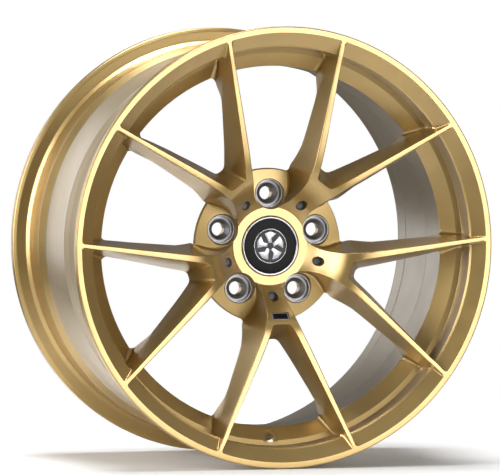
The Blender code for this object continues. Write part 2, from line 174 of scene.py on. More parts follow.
def lathe(profile, segments, closed=True, slot_of=None):
    """bm of a (radius, depth) profile turned round the wheel's axis. An open one ends on the axis."""
    bm = bmesh.new()
    turns = [2 * math.pi * i / segments for i in range(segments)]
    rings = []
    for radius, depth in profile:
        if radius < 1e-6:
            rings.append([bm.verts.new((0, at_depth(depth), 0))] * segments)
            continue
        rings.append([bm.verts.new((radius * MM * math.cos(a), at_depth(depth), radius * MM * math.sin(a)))
                      for a in turns])
    last = len(rings) if closed else len(rings) - 1
    for j in range(last):
        here, after = rings[j], rings[(j + 1) % len(rings)]
        slot = slot_of(profile[j], profile[(j + 1) % len(rings)]) if slot_of else 0
        for i in range(segments):
            k = (i + 1) % segments
            corners = []
            for vert in (here[i], after[i], after[k], here[k]):
                if vert not in corners:
                    corners.append(vert)
            if len(corners) > 2:
                bm.faces.new(corners).material_index = slot
    return bm


def cut_away(target, *cutters, crossing=False):
    """Cuts the cutters' shapes out of target for good. crossing: target's own walls may cross."""
    for cutter in cutters:
        modifier = target.modifiers.new("cut", "BOOLEAN")
        modifier.operation = "DIFFERENCE"
        modifier.solver = "EXACT"
        modifier.use_self = crossing
        modifier.object = cutter
    bpy.context.view_layer.update()
    evaluated = target.evaluated_get(bpy.context.evaluated_depsgraph_get())
    mesh = bpy.data.meshes.new_from_object(evaluated)
    mesh.validate()
    old = target.data
    target.modifiers.clear()
    target.data = mesh
    bpy.data.meshes.remove(old)
    for cutter in cutters:
        bpy.data.objects.remove(cutter, do_unlink=True)


def place_on_wheel(thing, radius, angle_degrees):
    """Moves a piece that was turned round the axis out to a place on the wheel's face."""
    angle = math.radians(angle_degrees)
    thing.location = (radius * MM * math.cos(angle), 0.0, radius * MM * math.sin(angle))


def settle(thing):
    """Puts an object's place into its mesh."""
    bpy.context.view_layer.update()
    thing.data.transform(thing.matrix_world)
    thing.matrix_world = Matrix.Identity(4)


def hand_over(thing, body, slot, *nodes):
    """Tells the frame what a piece rides on and hides the nodes it stands for. Its material slot is not
    used.
    """
    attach(thing, body)
    if nodes:
        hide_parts(*nodes)


# ---------------------------------------------------------------- materials

def shader_material(name, roughness, metallic, **sockets):
    """A material with its shader, and its object coordinates in millimetres."""
    material = bpy.data.materials.new(name)
    material.use_nodes = True
    nodes, links = material.node_tree.nodes, material.node_tree.links
    shader = nodes["Principled BSDF"]
    shader.inputs["Roughness"].default_value = roughness
    shader.inputs["Metallic"].default_value = metallic
    for socket, value in sockets.items():
        shader.inputs[socket.replace("_", " ")].default_value = value
    place = nodes.new("ShaderNodeTexCoord")
    scale = nodes.new("ShaderNodeVectorMath")
    scale.operation = "SCALE"
    scale.inputs["Scale"].default_value = 1 / MM
    links.new(place.outputs["Object"], scale.inputs[0])
    return material, nodes, links, shader, scale.outputs[0]


def add_noise(nodes, links, place, size, detail=2.0):
    """Noise whose features are about size millimetres across."""
    noise = nodes.new("ShaderNodeTexNoise")
    noise.inputs["Scale"].default_value = 1 / size
    noise.inputs["Detail"].default_value = detail
    links.new(place, noise.inputs["Vector"])
    return noise.outputs["Fac"]


def add_range(nodes, links, value, low, high, from_low=0.3, from_high=0.7):
    spread = nodes.new("ShaderNodeMapRange")
    spread.inputs["From Min"].default_value = from_low
    spread.inputs["From Max"].default_value = from_high
    spread.inputs["To Min"].default_value = low
    spread.inputs["To Max"].default_value = high
    links.new(value, spread.inputs["Value"])
    return spread.outputs["Result"]


def add_mix(nodes, links, factor, first, second):
    """Mix of two colours, each a tuple or a socket."""
    mix = nodes.new("ShaderNodeMix")
    mix.data_type = "RGBA"
    links.new(factor, mix.inputs["Factor"])
    for socket, colour in (("A", first), ("B", second)):
        target = [s for s in mix.inputs if s.name == socket and s.type == "RGBA"][0]
        if isinstance(colour, tuple):
            target.default_value = (*colour, 1.0)
        else:
            links.new(colour, target)
    return [s for s in mix.outputs if s.type == "RGBA"][0]


def add_bump(nodes, links, shader, height, distance_mm, strength=1.0):
    bump = nodes.new("ShaderNodeBump")
    bump.inputs["Strength"].default_value = strength
    bump.inputs["Distance"].default_value = distance_mm * MM
    links.new(height, bump.inputs["Height"])
    links.new(bump.outputs["Normal"], shader.inputs["Normal"])


def paint(name, colour, roughness=0.36, metallic=0.9):
    """Satin metallic lacquer: fine flake, a little cloudiness and an orange-peel skin."""
    material, nodes, links, shader, place = shader_material(
        name, roughness, metallic, Coat_Weight=1.0, Coat_Roughness=0.28, Coat_IOR=1.65)
    flake = add_noise(nodes, links, place, 0.35, 1.0)
    cloud = add_noise(nodes, links, place, 28.0, 2.0)
    pale = tuple(min(1.0, c * 1.09) for c in colour)
    deep = tuple(c * 0.9 for c in colour)
    flaked = add_mix(nodes, links, add_range(nodes, links, flake, 0.0, 1.0), deep, pale)
    clouded = add_mix(nodes, links, add_range(nodes, links, cloud, 0.0, 0.35), flaked, deep)
    links.new(clouded, shader.inputs["Base Color"])
    links.new(add_range(nodes, links, cloud, roughness - 0.03, roughness + 0.04), shader.inputs["Roughness"])
    peel = add_noise(nodes, links, place, 1.1, 1.0)
    add_bump(nodes, links, shader, peel, 0.006)
    return material


GOLD = (0.46, 0.305, 0.092)
# Painted reflection: a grey-taupe tone that stands in for the pale room mirrored in the lacquer at grazing
# angles, on the barrel, the groove and the walls of arms and windows.
PAINTED_REFLECTION_TONE = (0.37, 0.30, 0.205)


def fading_paint(name, inner, outer, fade_from, fade_to, roughness, metallic):
    """Lacquer that turns from one tone near the hub to another towards the rim; on the arms' walls it turns
    a painted reflection near the hub into plain gold.
    """
    material = paint(name, inner, roughness, metallic)
    nodes, links = material.node_tree.nodes, material.node_tree.links
    shader = nodes["Principled BSDF"]
    place = nodes.new("ShaderNodeTexCoord")
    flat = nodes.new("ShaderNodeVectorMath")
    flat.operation = "MULTIPLY"
    flat.inputs[1].default_value = (1 / MM, 0.0, 1 / MM)
    links.new(place.outputs["Object"], flat.inputs[0])
    length = nodes.new("ShaderNodeVectorMath")
    length.operation = "LENGTH"
    links.new(flat.outputs[0], length.inputs[0])
    fade = add_range(nodes, links, length.outputs["Value"], 0.0, 1.0, fade_from, fade_to)
    under = shader.inputs["Base Color"].links[0].from_socket
    links.new(add_mix(nodes, links, fade, under, outer), shader.inputs["Base Color"])
    return material


def turned_paint(name, colour, line_colour):
    """Lacquer over a turned surface: fine brighter rings round the axis, a few millimetres apart."""
    material = paint(name, colour, 0.46, 0.72)
    nodes, links = material.node_tree.nodes, material.node_tree.links
    shader = nodes["Principled BSDF"]
    place = nodes.new("ShaderNodeTexCoord")
    along = nodes.new("ShaderNodeVectorMath")
    along.operation = "MULTIPLY"
    along.inputs[1].default_value = (0.0, 1 / MM, 0.0)
    links.new(place.outputs["Object"], along.inputs[0])
    rings = add_noise(nodes, links, along.outputs[0], 1.7, 1.0)
    share = add_range(nodes, links, rings, 0.0, 0.55, 0.54, 0.62)
    under = shader.inputs["Base Color"].links[0].from_socket
    links.new(add_mix(nodes, links, share, under, line_colour), shader.inputs["Base Color"])
    return material


def bare_metal(name, colour, roughness):
    """Bare metal with a fine grain and a trace of grime."""
    material, nodes, links, shader, place = shader_material(name, roughness, 1.0)
    grime = add_noise(nodes, links, place, 6.0, 4.0)
    toned = add_mix(nodes, links, add_range(nodes, links, grime, 0.0, 0.3), colour,
                    tuple(c * 0.62 for c in colour))
    links.new(toned, shader.inputs["Base Color"])
    links.new(add_range(nodes, links, grime, roughness - 0.05, roughness + 0.1), shader.inputs["Roughness"])
    grain = add_noise(nodes, links, place, 0.25, 1.0)
    add_bump(nodes, links, shader, grain, 0.004)
    return material


def moulded_plastic(name, colour, roughness):
    material, nodes, links, shader, place = shader_material(name, roughness, 0.0)
    grain = add_noise(nodes, links, place, 0.5, 2.0)
    toned = add_mix(nodes, links, add_range(nodes, links, grain, 0.0, 1.0), colour,
                    tuple(c * 1.5 for c in colour))
    links.new(toned, shader.inputs["Base Color"])
    links.new(add_range(nodes, links, grain, roughness - 0.05, roughness + 0.06), shader.inputs["Roughness"])
    add_bump(nodes, links, shader, grain, 0.02)
    return material


def gloss_enamel(name, colour, roughness=0.3):
    material, nodes, links, shader, place = shader_material(
        name, roughness, 0.0, Specular_IOR_Level=0.05, Coat_Weight=0.03, Coat_Roughness=0.06)
    haze = add_noise(nodes, links, place, 9.0, 3.0)
    toned = add_mix(nodes, links, add_range(nodes, links, haze, 0.0, 1.0), colour,
                    tuple(c * 1.6 for c in colour))
    links.new(toned, shader.inputs["Base Color"])
    links.new(add_range(nodes, links, haze, roughness, roughness + 0.05), shader.inputs["Roughness"])
    return material


def make_materials():
    return {
        "gold": paint("forging_gold", GOLD),
        # The next three carry the painted reflection tone: plain, under real turning rings, and fading into
        # gold.
        "painted_reflection": paint("forging_painted_reflection", PAINTED_REFLECTION_TONE, 0.46, 0.72),
        "turned": turned_paint("forging_turned_on_reflection", PAINTED_REFLECTION_TONE, (0.62, 0.47, 0.22)),
        "wall": fading_paint("forging_wall_reflection_fade", PAINTED_REFLECTION_TONE, GOLD, 118.0, 178.0, 0.44, 0.78),
        "steel": bare_metal("seat_steel", (0.36, 0.36, 0.37), 0.36),
        "wire": bare_metal("spring_wire", (0.5, 0.5, 0.51), 0.32),
        "chrome": bare_metal("bezel_chrome", (0.66, 0.67, 0.69), 0.16),
        "silver": bare_metal("emblem_silver", (0.5, 0.51, 0.54), 0.34),
        "graphite": gloss_enamel("emblem_graphite", (0.05, 0.051, 0.055), 0.35),
        "black": gloss_enamel("dial_black", (0.006, 0.006, 0.007)),
        "plug": moulded_plastic("plug_plastic", (0.03, 0.03, 0.034), 0.42),
        "plastic": moulded_plastic("cap_plastic", (0.016, 0.016, 0.018), 0.5),
    }


# ---------------------------------------------------------------- rim

RIM_SEGMENTS = 240
# A face's material: gold, the painted reflection tone, and a third: turned paint over the painted reflection
# tone on the rim, paint fading from a painted reflection into gold on the arms.
ON_GOLD, ON_PAINTED_REFLECTION, ON_THIRD = 0, 1, 2
BAND_TOP, BAND_FOOT = (219.6, 35.6), (204.7, 47.1)      # radius and depth of the valve band's edges
# Radius, depth and edge radius, from the lip's inner edge round the tyre side and back inside.
RIM_SECTION = [
    (242.0, 0.04, 0.9), (RIM_RADIUS, 0.04, 1.7), (RIM_RADIUS, 8.8, 3.0), (243.6, 10.8, 4.0),
    (234.3, 12.8, 3.5), (231.0, 16.4, 2.5), (229.8, 29.5, 3.0), (231.0, 34.0, 2.5), (224.3, 38.6, 4.0),
    (211.0, 52.2, 6.0), (210.6, 93.0, 8.0), (222.5, 116.5, 5.0), (225.3, 121.5, 3.0),
    (225.6, 189.5, 5.0), (231.4, 200.0, 3.0), (231.0, 204.0, 2.0), (229.6, 208.5, 3.0),
    (230.6, 236.5, 3.0), (234.5, 240.8, 3.5), (244.6, 243.2, 4.0), (RIM_RADIUS, 246.0, 2.5),
    (RIM_RADIUS, RIM_DEPTH, 1.7), (240.2, RIM_DEPTH, 1.6), (230.6, 244.0, 4.0), (226.2, 232.0, 5.0),
    (226.2, 208.0, 5.0), (220.8, 193.0, 6.0), (220.0, 121.0, 8.0), (206.0, 92.5, 8.0),
    (*BAND_FOOT, 1.1), (*BAND_TOP, 1.0), (225.6, 33.4, 0.8), (226.0, 10.9, 0.9), (228.0, 9.1, 1.0),
]
VALVE_ANGLE = -91.2
VALVE_RADIUS = 5.8
VALVE_SEAT_RADIUS = 9.8
VALVE_RING = (216.6, 37.8)      # radius and depth where the valve hole meets the band
GROOVE_DEPTHS, GROOVE_RADII = (10.9, 33.0), (225.0, 227.5)
BARREL_END_DEPTH, BARREL_RADIUS = 236.0, 227.0


def rim_slot(a, b):
    """Gold at the street side and the flanges, the painted reflection tone in the groove and barrel, turned
    paint over it under the tyre.
    """
    radius, depth = (a[0] + b[0]) / 2, (a[1] + b[1]) / 2
    if GROOVE_DEPTHS[0] < depth < GROOVE_DEPTHS[1] and GROOVE_RADII[0] < radius < GROOVE_RADII[1]:
        return ON_PAINTED_REFLECTION
    if BAND_FOOT[1] < depth < BARREL_END_DEPTH and radius < BARREL_RADIUS:
        return ON_THIRD if b[1] > a[1] else ON_PAINTED_REFLECTION
    return ON_GOLD


def valve_cutter(radius, near, far):
    """A cylinder square to the band, from near to far along the hole's axis."""
    cylinder = [(0.0, near), (radius, near), (radius, far), (0.0, far)]
    tool = new_object("valve_cutter", lathe(cylinder, 48, closed=False), [])
    tool.data.transform(Matrix.Translation((0, -LIP_Y, 0)))
    along = (Vector(BAND_FOOT) - Vector(BAND_TOP)).normalized()
    angle = math.radians(VALVE_ANGLE)
    outward = Vector((-along.y * math.cos(angle), along.x, -along.y * math.sin(angle)))
    outward = -outward if outward.y < 0 else outward
    centre = Vector((VALVE_RING[0] * MM * math.cos(angle), at_depth(VALVE_RING[1]),
                     VALVE_RING[0] * MM * math.sin(angle)))
    turn = Vector((0, 1, 0)).rotation_difference(outward).to_matrix().to_4x4()
    tool.matrix_world = Matrix.Translation(centre) @ turn
    return tool


def build_rim(materials):
    # Slots: gold, the painted reflection tone, and real turning rings over the painted reflection tone.
    rim = new_object("forged_rim", lathe(rounded(RIM_SECTION), RIM_SEGMENTS, slot_of=rim_slot),
                     [materials["gold"], materials["painted_reflection"], materials["turned"]])
    cut_away(rim, valve_cutter(VALVE_SEAT_RADIUS, -14.0, 0.5), valve_cutter(VALVE_RADIUS, -16.0, 20.0))
    shade(rim, 32.0)
    even_normals(rim)
    hand_over(rim, "wheel", "forging", "rim_outer_flange", "rim_drop_well", "rim_barrel", "rim_inner_flange")


# ---------------------------------------------------------------- hub

HUB_SEGMENTS = 180
POCKET_RADIUS = 18.3
POCKET_DEPTH = 60.8
SEAT_HOLE_RADIUS = 16.35
BOLT_HOLE_RADIUS = 8.2
CUT_FROM_DEPTH, CUT_TO_DEPTH = 20.0, 95.0
FLOOR_START, FLOOR_END = (45.4, 57.3), (88.0, 65.9)
CENTRE_BORE_RADIUS = 36.3


def floor_depth(radius):
    """Depth of the dished floor between the arms."""
    (r0, d0), (r1, d1) = FLOOR_START, FLOOR_END
    return d0 + (d1 - d0) * (max(radius, r0) - r0) / (r1 - r0)


def bolt_cutter(index):
    """The pocket round a bolt seat, with a rounded lip, the seat's hole and the bolt's clearance."""
    section = [
        (0, CUT_FROM_DEPTH, 0), (POCKET_RADIUS, CUT_FROM_DEPTH, 0), (POCKET_RADIUS, POCKET_DEPTH, 0),
        (SEAT_HOLE_RADIUS, 64.6, 2.2), (SEAT_HOLE_RADIUS, 76.0, 0), (BOLT_HOLE_RADIUS, 76.0, 0),
        (BOLT_HOLE_RADIUS, CUT_TO_DEPTH, 0), (0, CUT_TO_DEPTH, 0),
    ]
    tool = new_object("bolt_cutter", lathe(rounded(section, 5, closed=False), 72, closed=False), [])
    place_on_wheel(tool, BOLT_CIRCLE, FIRST_BOLT + STEP * index)
    return tool


def build_hub(materials):
    section = [
        (34.4, RING_DEPTH, 0.7), (44.6, RING_DEPTH, 0.6), (*FLOOR_START, 0.6), (*FLOOR_END, 1.6),
        (HUB_RADIUS, 69.5, 3.0), (76.0, MOUNT_DEPTH, 1.2), (38.2, MOUNT_DEPTH, 0.8),
        (CENTRE_BORE_RADIUS, 82.6, 0.6), (CENTRE_BORE_RADIUS, 74.5, 0.5), (31.0, 74.5, 0.5),
        (31.0, 62.6, 0.4), (34.4, 62.6, 0.4),
    ]
    hub = new_object("forged_hub", lathe(rounded(section), HUB_SEGMENTS), [materials["gold"]])
    cut_away(hub, *[bolt_cutter(i) for i in range(5)])
    shade(hub, 30.0)
    even_normals(hub)
    hand_over(hub, "wheel", "forging", "hub_centre", "hub_mounting_pad")


# ---------------------------------------------------------------- arms

# Depths by radius of the arms' street side and car side.
front = smooth_table([
    (44.0, 57.5), (45.4, 56.2), (57.7, 45.2), (73.0, 27.6), (83.0, 19.4), (87.0, 17.7), (96.0, 13.9),
    (105.0, 11.8), (119.5, 9.7), (158.0, 6.1), (202.0, 3.0), (236.0, 0.35), (243.0, 0.0)])
back = smooth_table([
    (88.0, 66.0), (90.4, 64.0), (101.0, 53.7), (116.4, 46.6), (131.6, 41.5), (152.0, 37.5),
    (172.0, 33.6), (192.0, 31.0), (198.0, 31.6), (203.0, 35.5), (206.5, 46.0)])
root_front = smooth_table([
    (38.0, 19.5), (41.0, 18.2), (45.0, 16.4), (50.6, 14.3), (57.7, 13.3), (65.8, 13.9), (76.0, 16.0),
    (86.0, 19.4), (96.0, 22.9), (112.0, 30.2)])
root_foot = smooth_table([
    (38.0, 20.0), (45.0, 18.0), (50.6, 16.6), (57.7, 16.2), (65.8, 18.2), (76.0, 24.4), (82.0, 28.6),
    (87.0, 33.2), (90.0, 35.0), (96.0, 36.4), (104.0, 38.2), (112.0, 40.3)])
# Where each level of an arm's walls meets the rim: share of the wall, radius, depth, corner radius.
LEVELS = [(0.0, 242.5, 0.0, 4.5), (0.14, 228.4, 9.6, 4.0), (0.42, 226.3, 13.0, 3.5),
          (0.7, 226.2, 32.9, 3.5), (0.86, 220.4, 36.2, 5.0), (1.0, 206.2, 46.5, 7.0)]
BAY_END = 88.5                  # radius where the hub's floor ends
ROOT_END = 112.0                # along the mid-line, where the root turns into two straight spokes
ROOT_COLOUR_END = 96.0          # the outer walls are plain gold up to here; beyond it they carry a painted reflection fading into gold
SUNK = 3.35                     # how far the root's underside lies below the hub's floor
BEYOND_LANDING = 1.2            # how far the arm's end lies inside the rim
FOOT_SPREAD = 6.0               # flare of the root's foot onto the floor
BLEND_LENGTH = 22.0             # over which a wall's depths turn into the rim's
WINDOW_EDGE = 0.75              # width of the bevel round the window
PAST_RIM, PAST_ARM = 3.4, 14.0  # how far the window's cutter reaches beyond the metal
COLUMN_SHARES = [0.0, 0.3, 0.55, 0.75, 0.9, 0.97]
BACK_SHARES = [0.85, 0.6, 0.3, 0.0]
CORNER_STEPS = 6
ROWS_TO_RIM = 6
CROTCHES = [87.0, 90.0, 96.2, 99.8, 103.0, 105.6]   # where the window starts, one for each level
PAINTED_REFLECTION_FROM = 4                  # the window's wall carries the painted reflection tone from this ring of the cutter on
PLUG_CIRCLE = 56.9
PLUG_HOLE_RADIUS = 5.6
PLUG_HOLE_DEPTHS = (30.0, 57.0)
PLUG_LEAD = -0.45
# Radius and depth of the arm's front at the badge's two ends.
BADGE_SLOPE = ((73.0, 27.6), (83.0, 19.4))
# Width, height, near and far faces of the badge's pieces, and of the recess it sits in.
BADGE_RECESS = (20.5, 10.1, -4.0, 2.3)
BADGE_SURROUND = (19.9, 9.5, 0.25, 1.95)
BADGE_POCKET = (18.0, 7.6, -2.0, 1.3)
BADGE_FIELD = (17.3, 6.9, 0.42, 0.98)
POCKET_CLEARANCE, SEAT_CLEARANCE = 0.15, 0.25
ARM_ROWS = [40.6, 42.0, 43.6, 45.5, 48.0, 51.0, 54.5, 58.0, 62.0, 66.0, 70.0, 74.0, 77.5, 80.5, 83.0,
            85.5, 88.0, 91.0, 95.0, 100.0, 106.0, 112.0, 120.0, 129.0, 138.0, 148.0, 158.0, 168.0]


def strip_middle(s):
    return 44.9 + 0.472 * (s - 151.4)


def strip_half(s):
    return 0.553 * (7.0 - 0.0265 * (s - 116.4))


def lug_half_width(s, share):
    """Half-width of an arm at its outer wall: share 0 is the street side, 1 the car side or the foot."""
    if s < ROOT_END:
        near, far = root_front(s), root_foot(s)
    else:
        near, far = strip_middle(s) + strip_half(s), 55.0 + 0.42 * (s - 146.9)
    return near + (far - near) * share


def window_half_width(s, share):
    near, far = strip_middle(s) - strip_half(s), 34.0 + 0.56 * (s - 156.2)
    return near + (far - near) * wall_share(share)


def wall_share(share):
    """The window's wall has two facets that meet at a crease."""
    return share / 0.84 if share < 0.42 else 0.5 + (share - 0.42) / 1.16


def landing(half_width, share, circle, corner):
    """The (s, t) points of the rounded corner from a wall's line onto the rim's circle."""
    side = 1 if half_width is window_half_width else -1
    low, high = 150.0, circle
    for _ in range(50):
        s = (low + high) / 2
        slope = (half_width(s + 0.5, share) - half_width(s - 0.5, share))
        normal = np.array((slope, -1.0)) / math.hypot(slope, 1.0) * side
        centre = np.array((s, half_width(s, share))) + normal * corner
        if np.linalg.norm(centre) > circle - corner:
            high = s
        else:
            low = s
    first = np.array((s, half_width(s, share))) - centre
    last = centre / np.linalg.norm(centre) * corner
    a, b = math.atan2(first[1], first[0]), math.atan2(last[1], last[0])
    turn = (b - a + math.pi) % (2 * math.pi) - math.pi
    angles = [a + turn * k / CORNER_STEPS for k in range(CORNER_STEPS + 1)]
    return [centre + corner * np.array((math.cos(angle), math.sin(angle))) for angle in angles]


def wall_depth(share, near, far):
    """Depth at a share of a wall between its street-side and car-side points in plan."""
    top, foot = front(math.hypot(*near)), back(math.hypot(*far))
    if math.hypot(*far) < BAY_END:
        foot = floor_depth(math.hypot(*far)) + 0.35
    return top + (foot - top) * share


def lug_wall_line(share, circle, rim_depth, corner):
    """The (s, t, depth) points along one level of an arm's outer wall, from the hub to the rim."""
    arc = landing(lug_half_width, share, circle, corner)
    end, last_kept = arc[0][0], ARM_ROWS[-1]
    places = list(ARM_ROWS)
    places += [last_kept + (end - last_kept) * k / ROWS_TO_RIM for k in range(1, ROWS_TO_RIM)]
    line = []
    for s, t in [(s, lug_half_width(s, share)) for s in places] + [tuple(point) for point in arc]:
        depth = wall_depth(share, (s, lug_half_width(s, 0.0)), (s, lug_half_width(s, 1.0)))
        landed = ease(s, end - BLEND_LENGTH, end + 0.3 * corner)
        line.append((s, t, depth + (rim_depth - depth) * landed))
    return line


def on_arc(radius, angle, depth):
    return np.array((radius * math.cos(angle), radius * math.sin(angle), depth))


def column_shares(station, half_width):
    """The street side's columns as shares of the arm's half-angle. Beyond the root they follow the spoke."""
    if station <= ROOT_END:
        return COLUMN_SHARES
    inner = (strip_middle(station) - 2.6 * strip_half(station)) / half_width
    return [0.0, inner * 0.5, inner] + [inner + (1 - inner) * share for share in (0.45, 0.75, 0.93)]


def arm_row(points, station):
    """Half of an arm's section, from the street-side mid-line round the wall to the car-side mid-line."""
    top, foot = np.array(points[0]), np.array(points[-1])
    top_depth = float(top[2])
    radius, foot_radius = math.hypot(*top[:2]), math.hypot(*foot[:2])
    turn, foot_turn = math.atan2(top[1], top[0]), math.atan2(foot[1], foot[0])
    beyond_root = ease(station, 90.0, ROOT_END)
    row = [on_arc(radius, turn * share, top_depth) for share in column_shares(station, top[1])]
    edge = top + np.array((0.0, (0.4 + beyond_root) * 0.3, 0.0))
    row += bend(row[-1], edge, np.array(points[1]), 1.0 + beyond_root, 4)
    row += [np.array(point) for point in points[1:-1]]
    if foot_radius < BAY_END:
        spread = foot + np.array((0.0, FOOT_SPREAD - 4.5 * ease(foot_radius, 76.0, BAY_END), 0.0))
        row += bend(row[-1], foot, spread, min(4.5, 0.35 * (foot[2] - top_depth)), 4)
        sunk = floor_depth(foot_radius) + SUNK
        row.append(np.array((spread[0], spread[1], sunk)))
    else:
        sunk = float(foot[2])
        under = on_arc(foot_radius, foot_turn * 0.95, sunk)
        row += bend(row[-1], foot, under, 1.6, 4)
        row.append(under)
    return row + [on_arc(foot_radius, foot_turn * share, sunk) for share in BACK_SHARES]


def arm_rows():
    """The arm's sections from the hub to the rim, and one more inside the rim's metal."""
    lines = [lug_wall_line(*level) for level in LEVELS]
    rows = [arm_row(points, points[0][0]) for points in zip(*lines)]
    end = []
    for s, t, depth in rows[-1]:
        radius = math.hypot(s, t)
        grow = (radius + BEYOND_LANDING) / radius
        end.append(np.array((s * grow, t * grow, depth + (0.9 if radius > 235.0 else 0.0))))
    return rows + [end]


def local_vert(bm, point):
    return bm.verts.new((point[0] * MM, at_depth(point[2]), point[1] * MM))


def add_face(bm, corners, slot=ON_GOLD):
    """A face through the corners that differ."""
    different = []
    for vert in corners:
        if vert not in different:
            different.append(vert)
    bm.faces.new(different).material_index = slot


def add_half_rows(bm, points):
    """A half outline's vertices on the right and mirrored on the left, sharing both ends."""
    right = [local_vert(bm, p) for p in points]
    left = [right[0]] + [local_vert(bm, (p[0], -p[1], p[2])) for p in points[1:-1]] + [right[-1]]
    return right, left


def arm_body():
    """The arm without its window, mid-line along +X."""
    bm = bmesh.new()
    rows = arm_rows()
    width = len(rows[0])
    grid = [add_half_rows(bm, row) for row in rows]
    wall = range(len(COLUMN_SHARES) + 3, width - 6)
    for i in range(len(grid) - 1):
        for here, after in zip(grid[i], grid[i + 1]):
            for j in range(width - 1):
                # Outer wall faces beyond the root take the paint with a painted reflection that fades into
                # gold.
                slot = ON_THIRD if j in wall and rows[i][j][0] > ROOT_COLOUR_END else ON_GOLD
                add_face(bm, (here[j], here[j + 1], after[j + 1], after[j]), slot)
    right, left = grid[0]
    bm.faces.new(right + left[-2:0:-1])
    close_rim_end(bm, rows[-1], *grid[-1])
    return new_object("arm", bm, [], 30.0)


def close_rim_end(bm, row, right, left):
    """Closes the arm's end with a ladder of bands from side to side, one for each point of the wall."""
    columns, foot = len(COLUMN_SHARES), len(row) - 5
    previous = [left[k] for k in range(columns, 0, -1)] + [right[k] for k in range(columns + 1)]
    steps = len(previous) - 2
    for j in range(columns + 1, foot):
        radius, turn = math.hypot(row[j][0], row[j][1]), math.atan2(row[j][1], row[j][0])
        between = [-turn + 2 * turn * k / (steps + 1) for k in range(1, steps + 1)]
        current = [local_vert(bm, on_arc(radius, angle, row[j][2])) for angle in between]
        current = [left[j]] + current + [right[j]]
        bridge(bm, previous, current)
        previous = current
    tail = range(foot + 1, len(row) - 1)
    last = [left[foot]] + [left[k] for k in tail] + [right[-1]]
    last += [right[k] for k in reversed(tail)] + [right[foot]]
    bridge(bm, previous, last)


def bridge(bm, first, second):
    """Triangles and quads between two lines of vertices that may differ in count."""
    a, b = 0, 0
    while a < len(first) - 1 or b < len(second) - 1:
        share_a = (a + 1) / (len(first) - 1) if a < len(first) - 1 else 9.0
        share_b = (b + 1) / (len(second) - 1) if b < len(second) - 1 else 9.0
        if abs(share_a - share_b) < 1e-9:
            bm.faces.new((first[a], first[a + 1], second[b + 1], second[b]))
            a, b = a + 1, b + 1
        elif share_a < share_b:
            bm.faces.new((first[a], first[a + 1], second[b]))
            a += 1
        else:
            bm.faces.new((first[a], second[b + 1], second[b]))
            b += 1


def window_plan(share, circle, corner, crotch):
    """Half of one level's outline in plan, from the crotch's middle to the rim, and where its line ends."""
    arc = landing(window_half_width, share, circle, corner)
    end = arc[0][0]
    half = window_half_width(crotch, share)
    turn = 3.0 + share
    line_s = crotch + turn * 1.2
    before, after = (crotch, half - turn), (line_s, window_half_width(line_s, share))
    plan = [np.array((crotch, 0.0)), np.array((crotch, (half - turn) * 0.5))]
    plan += bend(before, (crotch, half), after, 99.0, 5)
    for k in range(1, 24):
        s = line_s + (end - line_s) * k / 24
        plan.append(np.array((s, window_half_width(s, share))))
    last_turn = math.atan2(arc[-1][1], arc[-1][0])
    beyond = [on_arc(circle + PAST_RIM, last_turn * (1 - k / 4), 0.0)[:2] for k in range(5)]
    return plan + arc + beyond, end


def window_outline(level, crotch):
    """Half of the window's outline at one level, as (s, t, depth) points."""
    share, circle, rim_depth, corner = level
    plan, end = window_plan(share, circle, corner, crotch)
    outline = []
    for s, t in plan:
        near_t = min(t, max(0.0, window_half_width(s, 0.0))) if s > CROTCHES[0] else t
        top, foot = front(math.hypot(s, near_t)), back(max(89.5, math.hypot(s, t)))
        depth = top + (foot - top) * share
        landed = ease(s, end - BLEND_LENGTH, end + 0.3 * corner)
        outline.append(np.array((s, t, depth + (rim_depth - depth) * landed)))
    return outline


def window_cutter():
    """The window between an arm's two spokes, as a stack of rounded outlines with a flared top."""
    bm = bmesh.new()
    levels = [window_outline(level, crotch) for level, crotch in zip(LEVELS, CROTCHES)]
    flares = [(3.4, -1.15), (0.29 * WINDOW_EDGE, 0.29 * WINDOW_EDGE), (0.0, WINDOW_EDGE)]
    stack = []
    for offset, drop in flares:
        stack.append([p + np.array((0.0, 0.0, drop)) + outward(levels[0], i) * offset
                      for i, p in enumerate(levels[0])])
    stack += levels[1:] + [[p + np.array((0.0, 0.0, PAST_ARM)) for p in levels[-1]]]
    grid = [add_half_rows(bm, outline) for outline in stack]
    for i in range(len(grid) - 1):
        for here, after in zip(grid[i], grid[i + 1]):
            for j in range(len(here) - 1):
                # Painted reflection on the window's deeper wall rings, plain gold nearer the street side.
                slot = ON_PAINTED_REFLECTION if i >= PAINTED_REFLECTION_FROM else ON_GOLD
                add_face(bm, (here[j], here[j + 1], after[j + 1], after[j]), slot)
    for right, left in (grid[0], grid[-1]):
        for j in range(len(right) - 1):
            add_face(bm, (right[j], right[j + 1], left[j + 1], left[j]))
    bmesh.ops.triangulate(bm, faces=bm.faces)
    return new_object("window_cutter", bm, [], 30.0)


def outward(outline, i):
    """Unit plan normal of an outline at point i, away from the window."""
    before, after = outline[max(0, i - 1)], outline[min(len(outline) - 1, i + 1)]
    along = (after - before)[:2]
    normal = np.array((-along[1], along[0]))
    size = np.linalg.norm(normal)
    if i == 0 or size < 1e-9:
        return np.array((-1.0, 0.0, 0.0))
    if i == len(outline) - 1:
        return np.array((1.0, 0.0, 0.0))
    return np.array((*(normal / size), 0.0))


def badge_matrix():
    """Carries a flat piece, front towards -Y, to the badge's place on the first arm."""
    (near_radius, near_depth), (far_radius, far_depth) = BADGE_SLOPE
    slope = math.atan2(near_depth - far_depth, far_radius - near_radius)
    roll = Matrix.Rotation(-math.radians(FIRST_ARM + 90.0), 4, "Y")
    lean = Matrix.Rotation(-slope, 4, "X")
    place = Matrix.Translation(box_centre("badge_plate")) @ roll @ lean
    return place @ Matrix.Translation((0.0, -0.7 * MM, 0.0))


